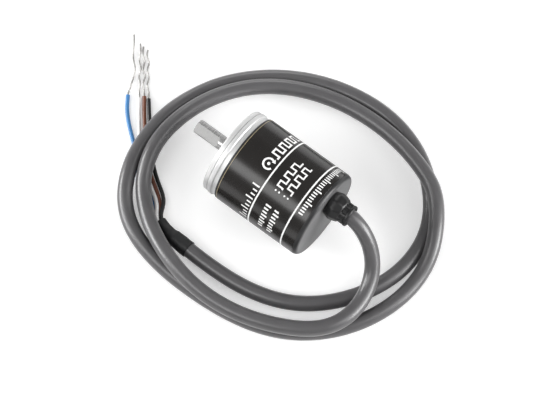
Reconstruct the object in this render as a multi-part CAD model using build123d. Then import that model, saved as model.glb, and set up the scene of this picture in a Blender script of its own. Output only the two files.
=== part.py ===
from build123d import *
import math
import os

# Rotary encoder, shaft type, 25 mm body, with its coiled cable.
# Millimetres.  Origin on the shaft axis at the flange's front (mounting) face,
# +X out along the shaft, +Z up.  The encoder lies on its side on the same table
# as its cable, so the table is at z = -BODY_R.  "Rear" is towards -X.

# Case and flange
BODY_R = 12.5
BODY_LEN = 30.6           # flange front face to rear face
WALL = 1.0                # case side wall
REAR_WALL = 1.2
REAR_EDGE_R = 1.2         # rounding of the case's rear edge
LABEL_T = 0.08
LABEL_FRONT, LABEL_REAR = -4.72, -29.35
CASE_R = BODY_R - LABEL_T
CASE_BORE_R = CASE_R - WALL

FLANGE_LEN = 4.05         # exposed length of the flange
FLANGE_FRONT_R = 12.25
FLANGE_RING_R = 12.45     # raised ring in the middle of the flange
LINE_R = 12.05            # bottom of the turned line in front of that ring
NECK_R = 12.1             # flange behind the ring
NECK_X = -2.85
FLANGE_BORE_R = 3.3
SPIGOT_R = CASE_BORE_R - 0.03
SPIGOT_END = -6.5
BOSS_R = 6.6
BOSS_END = -12.45

# Fixings
THIRDS = (0.0, 120.0, 240.0)
SCREW_PCD = 18.0          # M3 tapped holes in the flange face
SCREW_HOLE_R = 1.25
SCREW_DEPTH = 4.0
POST_PITCH_R = 9.9        # board standoffs
POST_R = 1.1
RETAINER_PITCH_R = 5.82   # retainer screws, midway between the standoffs

# Shaft
SHAFT_R = 2.0
SHAFT_OUT = 11.0          # shaft length in front of the flange face
SHAFT_IN = -17.6          # rear end of the shaft
SHAFT_CHAMFER = 0.3
TURNED_R = SHAFT_R - 0.004   # shaft radius over the length of the D-cut
FLAT_AT = 1.5             # distance of the flat from the axis
FLAT_END = 3.5            # the D-cut stops this far from the flange face
FLAT_ANGLE = 34.0         # direction of the flat's normal, from +Z towards +Y
GROOVE_FRONT, GROOVE_REAR, GROOVE_R = -0.35, -1.12, 1.75

# Ball bearings, 4 x 10 x 4 mm
BRG_OR = 5.0
BRG_W = 4.0
BRG_FRONT_C = -3.2        # centre planes
BRG_REAR_C = -10.2
BRG_SEAT_R = BRG_OR + 0.01
BALL_R = 0.794
BALL_PITCH_R = 3.5
BALL_COUNT = 8
BALL_START = 10           # angle of the first ball
RACEWAY_R = 0.83          # raceway groove radius
BRG_REAR_END = BRG_REAR_C - BRG_W / 2
STACK_REAR = BRG_REAR_END - 0.02   # front of the washer and hub behind the bearing

# Code disk
DISK_R = 8.4
DISK_X = -16.2            # front face
DISK_T = 0.3
DISK_BORE_R = 3.02
DISK_REAR = DISK_X - DISK_T
TRACK_R = 7.6             # middle of the slotted track
SLOT_COUNT = 60
SLOT_LEN, SLOT_W = 1.2, 0.4

# Circuit board
PCB_FRONT, PCB_REAR = -18.7, -19.7
PCB_R = 11.1
PADS = {  # (y, z) of each core's solder pad
    "blue": (-6.2, 5.4), "white": (-4.2, 8.2), "brown": (1.8, 5.2), "black": (-0.8, 7.3),
}

# Cable
GLAND_Y, GLAND_Z = -2.3, 6.6   # cable entry on the rear face
CABLE_R = 2.1
CORE_R = 0.55             # core insulation
CORE_BORE_R = 0.35
COPPER_R = 0.25
CORE_OFF = 0.59           # the four cores sit 2 x 2 in the jacket
CORE_GAP = 0.03           # between the jacket's ends and the exposed cores


# ---------------------------------------------------------------------------
# Helpers
# ---------------------------------------------------------------------------
def rev(points):
    """Solid of revolution about the shaft axis from (x, r) points."""
    return revolve(make_face(Polyline(*points, close=True)), Axis.X, 360)


def ring(x0, x1, r0, r1):
    """Plain ring about the shaft axis."""
    return rev([(x0, r0), (x1, r0), (x1, r1), (x0, r1)])


def polar(radius, angle):
    """(y, z) at a radius and an angle in degrees from +Z towards +Y."""
    a = math.radians(angle)
    return radius * math.sin(a), radius * math.cos(a)


def cyl(x0, x1, radius, y=0.0, z=0.0):
    """Cylinder along X between x0 and x1."""
    x0, x1 = min(x0, x1), max(x0, x1)
    return extrude(Plane.YZ.offset(x0) * Pos(y, z) * Circle(radius), amount=x1 - x0)


def block(x0, x1, y0, y1, z0, z1):
    """Box between opposite corners."""
    middle = Pos((x0 + x1) / 2, (y0 + y1) / 2, (z0 + z1) / 2)
    return middle * Box(abs(x1 - x0), abs(y1 - y0), abs(z1 - z0))


def bar(x0, x1, y, z, half_y, half_z):
    """Box from x0 to x1, centred on the line (y, z)."""
    return block(x0, x1, y - half_y, y + half_y, z - half_z, z + half_z)


def on_board(gap, height, y, z, half_y, half_z):
    """Box behind the board, from gap to height off its rear face."""
    return bar(PCB_REAR - gap, PCB_REAR - height, y, z, half_y, half_z)


def about_x(shape, angle):
    """Turn a shape about the shaft axis, from +Z towards +Y."""
    return Rot(-angle, 0, 0) * shape


def solids(shape):
    """All solids of a shape or of a list of shapes."""
    if isinstance(shape, (list, tuple)):
        return [solid for item in shape for solid in solids(item)]
    return list(shape.solids())


def save(name, shape):
    """Write one piece to its STEP file."""
    found = solids(shape)
    piece = found[0] if len(found) == 1 else Compound(children=found)
    export_step(piece, "parts/" + name + ".step")


os.makedirs("parts", exist_ok=True)
POSTS = [polar(POST_PITCH_R, a) for a in THIRDS]
FLANGE_HOLES = [polar(SCREW_PCD / 2, a) for a in THIRDS]
RETAINER_HOLES = [polar(RETAINER_PITCH_R, a + 60) for a in THIRDS]


# ---------------------------------------------------------------------------
# Housing
# ---------------------------------------------------------------------------
def mounting_flange():
    seat_front = BRG_FRONT_C + BRG_W / 2
    body = rev([
        (0.0, FLANGE_BORE_R), (0.0, FLANGE_FRONT_R - 0.3), (-0.3, FLANGE_FRONT_R),
        (-1.25, FLANGE_FRONT_R + 0.03), (-1.35, LINE_R), (-1.5, LINE_R),
        (-1.6, FLANGE_RING_R - 0.07), (-1.75, FLANGE_RING_R), (-2.55, FLANGE_RING_R),
        (-2.75, FLANGE_RING_R - 0.15), (NECK_X, NECK_R), (-FLANGE_LEN, NECK_R),
        (-FLANGE_LEN, SPIGOT_R), (SPIGOT_END, SPIGOT_R), (SPIGOT_END, BOSS_R),
        (BOSS_END, BOSS_R), (BOSS_END, BRG_SEAT_R), (seat_front, BRG_SEAT_R),
        (seat_front, FLANGE_BORE_R),
    ])
    for screw, post in zip(FLANGE_HOLES, POSTS):
        body -= cyl(0.0, -SCREW_DEPTH, SCREW_HOLE_R, *screw)
        body -= cyl(SPIGOT_END, SPIGOT_END + 1.5, 0.72, *post)
    for hole in RETAINER_HOLES:
        body -= cyl(BOSS_END, BOSS_END + 2.6, 0.47, *hole)
    return body


def case_cup():
    edge_x = -BODY_LEN + REAR_EDGE_R
    edge_r = CASE_R - REAR_EDGE_R
    floor_x = -BODY_LEN + REAR_WALL
    rounding = []
    for angle in range(8, 90, 8):
        r, x = polar(REAR_EDGE_R, 90 - angle)[0], polar(REAR_EDGE_R, angle)[0]
        rounding.append((edge_x - x, edge_r + r))
    cup = rev([
        (-FLANGE_LEN, CASE_BORE_R), (-FLANGE_LEN, CASE_R), (edge_x, CASE_R), *rounding,
        (-BODY_LEN, edge_r), (-BODY_LEN, 0), (floor_x, 0), (floor_x, CASE_BORE_R),
    ])
    return cup - cyl(-BODY_LEN - 1, floor_x + 1, 2.62, GLAND_Y, GLAND_Z)


save("mounting_flange", mounting_flange())
save("case_cup", case_cup())
save("label_film", ring(LABEL_FRONT, LABEL_REAR, CASE_R, BODY_R))


# ---------------------------------------------------------------------------
# Bearings: each function takes the x of the bearing's centre plane
# ---------------------------------------------------------------------------
def raceway(centre_x):
    return Pos(centre_x, 0, 0) * Rot(0, 90, 0) * Torus(BALL_PITCH_R, RACEWAY_R)


def outer_race(centre_x):
    front, rear = centre_x + BRG_W / 2, centre_x - BRG_W / 2
    step, land_r, step_r = 0.35, 4.2, 4.5   # stepped inside for the shields
    body = rev([
        (rear, step_r), (rear, BRG_OR), (front, BRG_OR), (front, step_r),
        (front - step, step_r), (front - step, land_r),
        (rear + step, land_r), (rear + step, step_r),
    ])
    return body - raceway(centre_x)


def inner_race(centre_x):
    half = BRG_W / 2
    return ring(centre_x - half, centre_x + half, SHAFT_R + 0.005, 2.8) - raceway(centre_x)


def shields(centre_x):
    front, rear = centre_x + BRG_W / 2, centre_x - BRG_W / 2
    return [ring(front - 0.3, front - 0.1, 2.87, 4.48), ring(rear + 0.1, rear + 0.3, 2.87, 4.48)]


BALL_ANGLES = [i * 360.0 / BALL_COUNT + BALL_START for i in range(BALL_COUNT)]


def balls(centre_x):
    return [Pos(centre_x, *polar(BALL_PITCH_R, a)) * Sphere(BALL_R) for a in BALL_ANGLES]


def cage(centre_x):
    body = ring(centre_x - 1.25, centre_x + 0.75, 3.15, 3.85)
    for angle in BALL_ANGLES:
        pocket = Pos(centre_x, 0, BALL_PITCH_R) * Cylinder(BALL_R + 0.06, 2)
        body -= about_x(pocket, angle)
    return body


for place, centre_x in (("front", BRG_FRONT_C), ("rear", BRG_REAR_C)):
    for build in (outer_race, inner_race, shields, balls, cage):
        save(place + "_bearing_" + build.__name__, build(centre_x))


def spacer(gap, r0, r1):
    """Ring between the two bearings, a gap clear of each."""
    half = BRG_W / 2
    return ring(BRG_FRONT_C - half - gap, BRG_REAR_C + half + gap, r0, r1)


save("bearing_spacer", spacer(0.02, 4.35, 4.98))
save("inner_spacer", spacer(0.01, SHAFT_R + 0.01, 2.75))
# conical washer behind the rear outer race
save("preload_washer", rev([(STACK_REAR, 4.9), (-12.38, 4.2), (-12.5, 4.2), (-12.34, 4.9)]))


def bearing_retainer():
    plate = ring(BOSS_END - 0.06, BOSS_END - 0.56, 3.5, BOSS_R)
    for hole in RETAINER_HOLES:
        plate -= cyl(BOSS_END, BOSS_END - 1, 0.5, *hole)
    return plate


def retainer_screw(y, z):
    """Slotted screw; its head is on the rear side."""
    seat = BOSS_END - 0.57
    body = cyl(seat, BOSS_END - 1.17, 0.75, y, z) + cyl(seat, BOSS_END + 2.4, 0.45, y, z)
    return body - bar(BOSS_END - 0.97, BOSS_END - 1.2, y, z, 0.5, 0.11)


save("bearing_retainer", bearing_retainer())
save("retainer_screws", [retainer_screw(*hole) for hole in RETAINER_HOLES])

# ---------------------------------------------------------------------------
# Rotor
# ---------------------------------------------------------------------------
SET_SCREW_X = -14.6
SET_SCREW_ANGLE = 90


def shaft():
    body = rev([
        (SHAFT_OUT, 0), (SHAFT_OUT, SHAFT_R - SHAFT_CHAMFER),
        (SHAFT_OUT - SHAFT_CHAMFER, TURNED_R), (FLAT_END, TURNED_R), (FLAT_END, SHAFT_R),
        (GROOVE_FRONT, SHAFT_R), (GROOVE_FRONT, GROOVE_R),
        (GROOVE_REAR, GROOVE_R), (GROOVE_REAR, SHAFT_R),
        (SHAFT_IN + SHAFT_CHAMFER, SHAFT_R), (SHAFT_IN, SHAFT_R - SHAFT_CHAMFER), (SHAFT_IN, 0),
    ])
    return body - about_x(block(FLAT_END, SHAFT_OUT + 1, -3, 3, FLAT_AT, 3.5), FLAT_ANGLE)


def retaining_ring():
    """Open ring in the shaft's groove, in front of the front inner race."""
    opening = block(-0.5, -1.3, -0.7, 0.7, 0.5, 4)
    return ring(-0.74, -1.08, 1.77, 2.85) - about_x(opening, 215)


def disk_hub():
    bore_r = SHAFT_R + 0.005
    hub = rev([
        (STACK_REAR, bore_r), (STACK_REAR, 2.7), (-13.4, 2.7), (-13.4, 4.6), (-15.7, 4.6),
        (-15.7, 5.4), (DISK_X, 5.4), (DISK_X, 3.0), (-17.3, 3.0), (-17.3, bore_r),
    ])
    return hub - about_x(Pos(SET_SCREW_X, 0, 2.5) * Cylinder(0.82, 5.5), SET_SCREW_ANGLE)


def hub_set_screw():
    socket = extrude(RegularPolygon(0.45, 6), amount=0.9, both=True)
    screw = Pos(SET_SCREW_X, 0, 3.28) * Cylinder(0.79, 2.5) - Pos(SET_SCREW_X, 0, 4.4) * socket
    return about_x(screw, SET_SCREW_ANGLE)


def code_disk():
    face = Circle(DISK_R) - Circle(DISK_BORE_R)
    face -= PolarLocations(TRACK_R, SLOT_COUNT) * Rectangle(SLOT_LEN, SLOT_W)
    return extrude(Plane.YZ.offset(DISK_REAR) * face, amount=DISK_T)


for build in (shaft, retaining_ring, disk_hub, hub_set_screw, code_disk):
    save(build.__name__, build())
save("disk_clamp_ring", ring(DISK_REAR, DISK_REAR - 0.5, DISK_BORE_R, 5.2))

# ---------------------------------------------------------------------------
# Optics: LED in front of the disk, mask and sensor behind it
# ---------------------------------------------------------------------------
LED_Z = -TRACK_R
LED_FRONT, LED_REAR = -12.4, -14.9
LEAD_YS = (-0.8, 0.8)
LEAD_Z = -9.6
LEAD_R = 0.18


def led_holder():
    holder = block(SPIGOT_END, -15.4, -2.2, 2.2, -10.6, -6.7)
    holder -= cyl(-10.6, -15.6, 0.73, 0, LED_Z)
    for y in LEAD_YS:
        holder -= cyl(-13.0, -15.6, 0.25, y, LEAD_Z)
    return holder - block(-12.6, -13.5, -1.15, 1.15, -10.7, LED_Z)


def ir_led():
    led = cyl(LED_FRONT, LED_REAR, 0.7, 0, LED_Z) + Pos(LED_REAR, 0, LED_Z) * Sphere(0.45)
    return led - block(-12.55, -13.55, -1.2, 1.2, LED_Z - 0.3, LED_Z - 1)


def led_lead(y):
    foot = block(-12.9, -13.2, y - LEAD_R, y + LEAD_R, LEAD_Z, LED_Z - 0.32)
    return cyl(-13.2, -20.6, LEAD_R, y, LEAD_Z) + foot


def mask_plate():
    """Plate with 2 x 2 windows."""
    mask = block(-16.9, -17.2, -2.4, 2.4, -9.2, -5.6)
    for i in (-1, 1):
        for j in (-1, 1):
            mask -= bar(-16.5, -17.5, i * 1.1, LED_Z + j * 0.8, 0.6, 0.45)
    return mask


def sensor_pin(side, z):
    """Bent pin: out from the sensor's side, then back towards the board."""
    outer = side * 2.75
    return (block(-17.9, -18.1, side * 2.1, outer, z - 0.17, z + 0.17)
            + block(-17.9, -18.68, side * 2.55, outer, z - 0.17, z + 0.17))


save("led_holder", led_holder())
save("ir_led", ir_led())
save("led_leads", [led_lead(y) for y in LEAD_YS])
save("mask_plate", mask_plate())
save("photo_sensor", block(-17.22, -18.45, -2.1, 2.1, -9.1, -5.9))
save("sensor_pins", [sensor_pin(s, -8.4 + i * 0.85) for i in range(3) for s in (-1, 1)])


# ---------------------------------------------------------------------------
# Circuit board and its fixings
# ---------------------------------------------------------------------------
def pcb_main():
    board = cyl(PCB_FRONT, PCB_REAR, PCB_R)
    holes = [(0.68, post) for post in POSTS]
    holes += [(0.3, (y, LEAD_Z)) for y in LEAD_YS]
    holes += [(0.32, pad) for pad in PADS.values()]
    for radius, place in holes:
        board -= cyl(PCB_FRONT + 1, PCB_REAR - 1, radius, *place)
    return board


def standoff(y, z):
    foot = SPIGOT_END - 0.01
    post = cyl(foot, PCB_FRONT + 0.01, POST_R, y, z) + cyl(foot, SPIGOT_END + 1.4, 0.7, y, z)
    return post - cyl(PCB_FRONT, PCB_FRONT + 3.4, 0.64, y, z)


def pcb_screw(y, z):
    """Cross-slotted screw; its head is on the board's rear face."""
    seat = PCB_REAR - 0.01
    screw = cyl(seat, PCB_REAR - 0.8, 1.1, y, z) + cyl(seat, PCB_FRONT + 3.0, 0.62, y, z)
    screw -= on_board(0.5, 1.0, y, z, 0.8, 0.14)
    return screw - on_board(0.5, 1.0, y, z, 0.14, 0.8)


save("pcb_main", pcb_main())
save("pcb_standoffs", [standoff(*post) for post in POSTS])
save("pcb_screws", [pcb_screw(*post) for post in POSTS])

# Components on the board's rear face; places are (y, z)
IC_Y = (-2.4, 2.6)
IC_Z = (-2.4, 1.5)
IC_PITCH = 1.27
TRANSISTORS = ((-6.2, 1.6), (-6.2, -1.6))
RESISTORS = ((6.2, 2.6), (6.2, 0.6), (6.2, -1.4), (6.2, -3.4), (-3.6, -5.6), (-1.0, -5.6))
FLAT_CAPACITORS = ((5.6, 5.4), (2.2, -5.6))
ROUND_CAPACITOR = (5.6, -7.0)


def comparator_ic():
    body = block(PCB_REAR - 0.2, PCB_REAR - 1.6, *IC_Y, *IC_Z)
    return chamfer(body.faces().sort_by(Axis.X)[0].edges(), 0.2)


def comparator_pin(y, side):
    """Gull-wing pin: shoulder, leg, foot."""
    edge = IC_Z[1] if side > 0 else IC_Z[0]

    def length(gap, height, start, end):
        return block(PCB_REAR - gap, PCB_REAR - height, y - 0.2, y + 0.2,
                     edge + side * start, edge + side * end)

    return (length(0.75, 0.95, 0, 0.75) + length(0.01, 0.95, 0.55, 0.75)
            + length(0.01, 0.21, 0.55, 1.15))


save("comparator_ic", comparator_ic())
save("comparator_pins", [comparator_pin(sum(IC_Y) / 2 + (i - 1.5) * IC_PITCH, side)
                         for i in range(4) for side in (-1, 1)])
save("transistors", [on_board(0.1, 1.1, y, z, 1.45, 0.7) for y, z in TRANSISTORS])
save("transistor_leads", [on_board(0.02, 0.3, y + dy, z + dz, 0.2, 0.25)
                          for y, z in TRANSISTORS
                          for dy, dz in ((-0.95, -0.95), (0.95, -0.95), (0.0, 0.95))])
save("resistors", [on_board(0.01, 0.46, y, z, 0.8, 0.4) for y, z in RESISTORS])
save("capacitors", [on_board(0.01, 0.9, y, z, 1.0, 0.62) for y, z in FLAT_CAPACITORS]
     + [cyl(PCB_REAR - 0.02, PCB_REAR - 4.6, 1.6, *ROUND_CAPACITOR)])


def dome(radius, y, z):
    """Half ball of solder on the board's rear face."""
    return Pos(PCB_REAR, y, z) * (Sphere(radius) & block(0, -1, -1, 1, -1, 1))


def pad_joint(y, z):
    """Dome with a flattened top, round a core."""
    joint = dome(0.62, y, z) - cyl(PCB_REAR + 1, PCB_REAR - 2, 0.29, y, z)
    return joint - on_board(0.55, 2, y, z, 1, 1)


def lead_joint(y, z):
    return dome(0.5, y, z) - cyl(PCB_REAR + 1, PCB_REAR - 2, 0.2, y, z)


save("solder_joints", [pad_joint(*pad) for pad in PADS.values()]
     + [lead_joint(y, LEAD_Z) for y in LEAD_YS])

# ---------------------------------------------------------------------------
# Cable gland and anchor: (x, r) outlines about the gland's axis
# ---------------------------------------------------------------------------
GLAND = [
    (-28.45, 2.16), (-28.45, 3.4), (-29.36, 3.4), (-29.36, 2.58), (-30.64, 2.58), (-30.64, 3.25),
    (-31.4, 3.56), (-32.1, 3.8), (-32.9, 3.83), (-33.7, 3.64), (-34.5, 3.38), (-34.9, 3.02),
    (-36.3, 2.97), (-36.38, 2.84), (-36.48, 3.0), (-36.7, 3.05), (-37.12, 3.02), (-37.34, 2.72),
    (-37.34, 2.5), (-36.7, 2.31), (-35.7, 2.2), (-34.0, 2.17),
]
ANCHOR = [(-27.3, 2.13), (-27.3, 2.9), (-28.4, 2.9), (-28.4, 2.13)]
for name, outline in (("cable_gland", GLAND), ("cable_anchor", ANCHOR)):
    save(name, Pos(0, GLAND_Y, GLAND_Z) * rev(outline))

# ---------------------------------------------------------------------------
# Cable: jacket, sleeve and four cores with stripped ends
# ---------------------------------------------------------------------------
# (x, y, z) along the cable's centre line: out of the gland, down into an upper
# turn round the encoder, then on round it along the table
CABLE = [
    (-27.00, -2.30, 6.60), (-28.90, -2.30, 6.60), (-30.80, -2.30, 6.60), (-32.60, -2.30, 6.60),
    (-34.40, -2.30, 6.60), (-36.39, -2.30, 6.60), (-38.27, -2.22, 6.07), (-40.04, -2.03, 5.11),
    (-41.69, -1.72, 3.82), (-43.20, -1.25, 2.34), (-44.59, -0.62, 0.78), (-45.84, 0.20, -0.77),
    (-46.98, 1.23, -2.22), (-47.98, 2.47, -3.50), (-48.84, 3.93, -4.58), (-50.13, 7.42, -6.02),
    (-50.73, 11.38, -6.52), (-50.55, 15.43, -6.30), (-48.44, 21.05, -5.93), (-44.24, 25.41, -5.95),
    (-39.04, 28.60, -5.96), (-33.45, 31.05, -5.99), (-27.65, 32.80, -6.03), (-21.69, 33.78, -6.04),
    (-15.68, 33.93, -6.04), (-9.72, 33.21, -6.14), (-3.96, 31.67, -6.58), (1.52, 29.45, -7.36),
    (6.63, 26.55, -8.27), (11.19, 22.86, -9.10), (14.99, 18.39, -8.60), (17.34, 13.10, -7.26),
    (18.35, 7.22, -6.63), (18.05, 1.22, -6.76), (16.89, -4.60, -7.42), (14.72, -10.10, -7.77),
    (11.59, -15.12, -7.74), (7.69, -19.53, -7.73), (3.11, -23.25, -7.79), (-1.97, -26.28, -7.97),
    (-7.41, -28.61, -8.26), (-13.07, -30.24, -8.58), (-18.87, -31.14, -8.68),
    (-24.75, -31.26, -8.36), (-30.61, -30.68, -7.71), (-36.36, -29.44, -6.89),
    (-41.96, -27.61, -6.21), (-47.25, -25.04, -6.01), (-51.50, -21.02, -6.19),
    (-54.79, -16.18, -6.68), (-57.16, -10.98, -8.00), (-58.19, -5.53, -9.68),
    (-58.08, 0.20, -10.37), (-56.99, 5.88, -10.37), (-54.97, 11.32, -10.37),
    (-52.14, 16.40, -10.37), (-48.57, 21.01, -10.37), (-44.34, 25.03, -10.37),
    (-39.51, 28.33, -10.37), (-34.17, 30.80, -10.37), (-28.51, 32.47, -10.37),
    (-22.65, 33.49, -10.37), (-16.69, 34.00, -10.37), (-10.70, 34.14, -10.37),
    (-4.71, 33.87, -10.37), (1.23, 32.98, -10.37), (6.99, 31.31, -10.37), (12.28, 28.53, -10.33),
    (16.55, 24.45, -9.66), (19.50, 19.30, -9.04), (21.36, 13.64, -9.10), (22.02, 7.74, -9.10),
    (21.82, 1.80, -9.06), (20.79, -4.07, -9.68), (18.89, -9.73, -10.34), (16.00, -15.00, -10.37),
    (12.28, -19.75, -10.37), (7.97, -23.98, -10.37), (3.16, -27.58, -10.37),
    (-2.05, -30.54, -10.37), (-7.58, -32.83, -10.37), (-13.37, -34.41, -10.37),
    (-19.32, -35.23, -10.37), (-25.29, -35.20, -10.37), (-31.15, -34.20, -10.37),
    (-36.74, -32.18, -10.37), (-41.89, -29.17, -10.37), (-46.41, -25.25, -10.37),
    (-50.08, -20.54, -10.37), (-52.57, -15.12, -10.37), (-53.60, -9.28, -10.37),
    (-53.27, -3.34, -10.37), (-51.69, 2.40, -10.37), (-49.15, 7.77, -10.37),
    (-45.80, 12.67, -10.37), (-41.73, 16.97, -10.37), (-37.01, 20.50, -10.37),
    (-31.73, 23.11, -10.37), (-26.11, 24.80, -10.37), (-20.31, 25.73, -10.37),
    (-14.47, 26.05, -10.37), (-8.61, 26.05, -10.37), (-2.77, 25.79, -10.37), (1.10, 25.44, -10.41),
    (4.95, 24.28, -10.82),
]
SHEATH_BACK = 6.0   # the jacket stops this far before the end of the centre line
SLEEVE_ON = 5.0     # length of the sleeve that grips the jacket
ENTRY_LEN = 15.0    # first stretch of the jacket, built in finer steps
SLEEVE_STEP = 2.5
CORE_STEP = 1.6
# (start, end, outside radius), the first two measured back from the centre line's end
SLEEVE_STEPS = (
    (SHEATH_BACK - 0.05, SHEATH_BACK - 0.35, 2.2),
    (SHEATH_BACK - 0.35, SHEATH_BACK - 1.7, 1.92),
    (SHEATH_BACK - 1.7, 0.0, 1.6),
)
# place of each core in the jacket, as signs (sideways, up)
CORE_SIGNS = {"blue": (1, -1), "white": (1, 1), "brown": (-1, -1), "black": (-1, 1)}
# (x, y, z) along the insulated cores after the sleeve
CORE_TAIL = {
    "blue": [
        (9.66, 21.29, -11.93), (15.01, 18.30, -11.93), (19.85, 14.57, -11.92),
        (24.77, 10.55, -11.92), (29.07, 7.03, -11.92), (32.02, 3.85, -11.92),
        (33.86, 1.19, -11.92),
    ],
    "white": [
        (8.49, 21.28, -10.93), (14.00, 17.46, -11.86), (18.86, 13.81, -11.92),
        (23.37, 9.49, -11.92), (26.83, 5.40, -11.92), (29.29, 2.30, -11.92),
        (30.90, -0.03, -11.92),
    ],
    "brown": [
        (8.65, 19.87, -11.93), (12.99, 16.67, -11.93), (17.85, 13.05, -11.92),
        (22.21, 8.61, -11.92), (25.65, 4.50, -11.92), (28.16, 1.45, -11.92),
        (30.13, -1.15, -11.92),
    ],
    "black": [
        (7.44, 19.78, -11.00), (12.00, 15.93, -11.90), (16.82, 12.26, -11.92),
        (21.09, 7.76, -11.92), (24.59, 3.70, -11.92), (26.87, 1.03, -11.92),
        (28.80, -1.30, -11.92),
    ],
}
# (x, y, z) along the stripped ends
BARE_END = {
    "blue": [
        (34.50, -0.23, -12.10), (34.94, -1.50, -11.80), (35.97, -3.96, -12.15),
        (36.98, -5.86, -11.60), (39.37, -8.14, -12.15), (41.26, -10.90, -11.70),
        (43.20, -13.48, -12.10),
    ],
    "white": [
        (32.40, -1.82, -12.10), (33.53, -3.63, -11.70), (34.89, -4.96, -12.16),
        (35.61, -6.70, -11.71), (37.56, -8.45, -12.15), (38.66, -10.48, -11.69),
        (40.23, -12.43, -12.10),
    ],
    "brown": [
        (31.43, -2.56, -12.10), (32.57, -3.79, -11.70), (33.65, -5.89, -12.14),
        (34.94, -6.87, -11.59), (36.18, -8.98, -12.15), (37.59, -10.21, -11.71),
        (39.04, -12.24, -12.11),
    ],
    "black": [
        (30.06, -2.89, -12.10), (31.48, -4.12, -11.70), (32.48, -6.07, -12.15),
        (33.97, -7.41, -11.70), (35.08, -9.46, -12.15), (36.59, -10.61, -11.70),
        (37.54, -12.23, -12.10),
    ],
}


def curve(points, start_dir, end_dir):
    """Spline through points with the given end directions."""
    return Spline(*points, tangents=(start_dir, end_dir), tangent_scalars=(1.0, 1.0))


def last_direction(points):
    return (Vector(*points[-1]) - Vector(*points[-2])).normalized()


def biarc(start, start_dir, end, end_dir):
    """Two smoothly joined arcs, each as (start, start direction, end)."""
    span = end - start
    along = span.dot(start_dir + end_dir)
    bend = 2 * (1 - start_dir.dot(end_dir))
    if bend < 1e-9:
        reach = span.dot(span) / (2 * along)
    else:
        reach = (-along + math.sqrt(along * along + bend * span.dot(span))) / bend
    mid = (start + end + (start_dir - end_dir) * reach) * 0.5
    chord = mid - start
    mid_dir = (chord * (2 * start_dir.dot(chord) / chord.dot(chord)) - start_dir).normalized()
    return (start, start_dir, mid), (mid, mid_dir, end)


def sweep_arc(section, start, start_dir, end):
    """Carry a section along one arc, or along a line where the arc is straight."""
    chord = end - start
    axis = start_dir.cross(chord)
    if axis.length < 1e-6 * chord.length:
        return Solid.extrude(section, chord)
    inward = axis.cross(start_dir).normalized()
    turn = 2 * math.degrees(math.atan2(axis.length, start_dir.dot(chord)))
    centre = start + inward * (chord.dot(chord) / (2 * chord.dot(inward)))
    return Solid.revolve(section, turn, Axis(centre, axis))


def pipe(edges, radius, step, first_step=None, bore=0.0):
    """Round bar or tube along a chain of edges, skinned from short torus pieces.

    step is the longest piece; first_step replaces it on the first edge.
    """
    points, dirs = [], []
    for i, edge in enumerate(edges):
        longest = first_step if first_step and i == 0 else step
        count = max(1, math.ceil(edge.length / longest))
        for k in range(1 if points else 0, count + 1):
            at = edge.length * k / count
            points.append(edge.position_at(at, position_mode=PositionMode.LENGTH))
            dirs.append(edge.tangent_at(at, position_mode=PositionMode.LENGTH))
    disc = Circle(radius) - Circle(bore) if bore else Circle(radius)
    section = (Plane(origin=points[0], z_dir=dirs[0]) * disc).faces()[0]
    skin = [section]
    for k in range(len(points) - 1):
        for start, start_dir, end in biarc(points[k], dirs[k], points[k + 1], dirs[k + 1]):
            faces = sweep_arc(section, start, start_dir, end).faces()
            skin += [f for f in faces if f.geom_type != GeomType.PLANE]
            # the flat face farther from the start carries on as the next section
            flat = [f for f in faces if f.geom_type == GeomType.PLANE]
            section = max(flat, key=lambda f: (f.center() - start).length)
    return Solid(Shell(skin + [section]))


REARWARD = Vector(-1, 0, 0)
centre_line = curve(CABLE, REARWARD, last_direction(CABLE))
total = centre_line.length


def point_back(back):
    """Point on the centre line, a distance back from its end."""
    return centre_line.position_at(total - back, position_mode=PositionMode.LENGTH)


def between(back0, back1):
    """The stretch of the centre line between two distances back from its end."""
    start = point_back(back0) if back0 < total else centre_line @ 0
    end = point_back(back1) if back1 else centre_line @ 1
    return centre_line.trim(start, end)


def core_point(back, sideways, up):
    """Point of one core, a distance back from the end of the centre line."""
    along = centre_line.tangent_at(total - back, position_mode=PositionMode.LENGTH)
    side = Vector(0, 0, 1).cross(along).normalized()
    offset = side * (sideways * CORE_OFF) + along.cross(side) * (up * CORE_OFF)
    point = point_back(back) + offset
    return (point.X, point.Y, point.Z), along


def cable_sheath():
    entry_end = total - ENTRY_LEN
    stretches = [between(total, entry_end), between(entry_end, SHEATH_BACK)]
    return pipe(stretches, CABLE_R, 8.0, first_step=1.5)


def heat_shrink():
    """Sleeve: wide over the jacket, stepping down over the cores."""
    grip = between(SHEATH_BACK + SLEEVE_ON, SHEATH_BACK - 0.05)
    sleeve = pipe([grip], 2.29, SLEEVE_STEP, bore=CABLE_R + 0.08)
    for back0, back1, radius in SLEEVE_STEPS:
        sleeve += pipe([between(back0, back1)], radius, SLEEVE_STEP, bore=1.45)
    return sleeve


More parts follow.
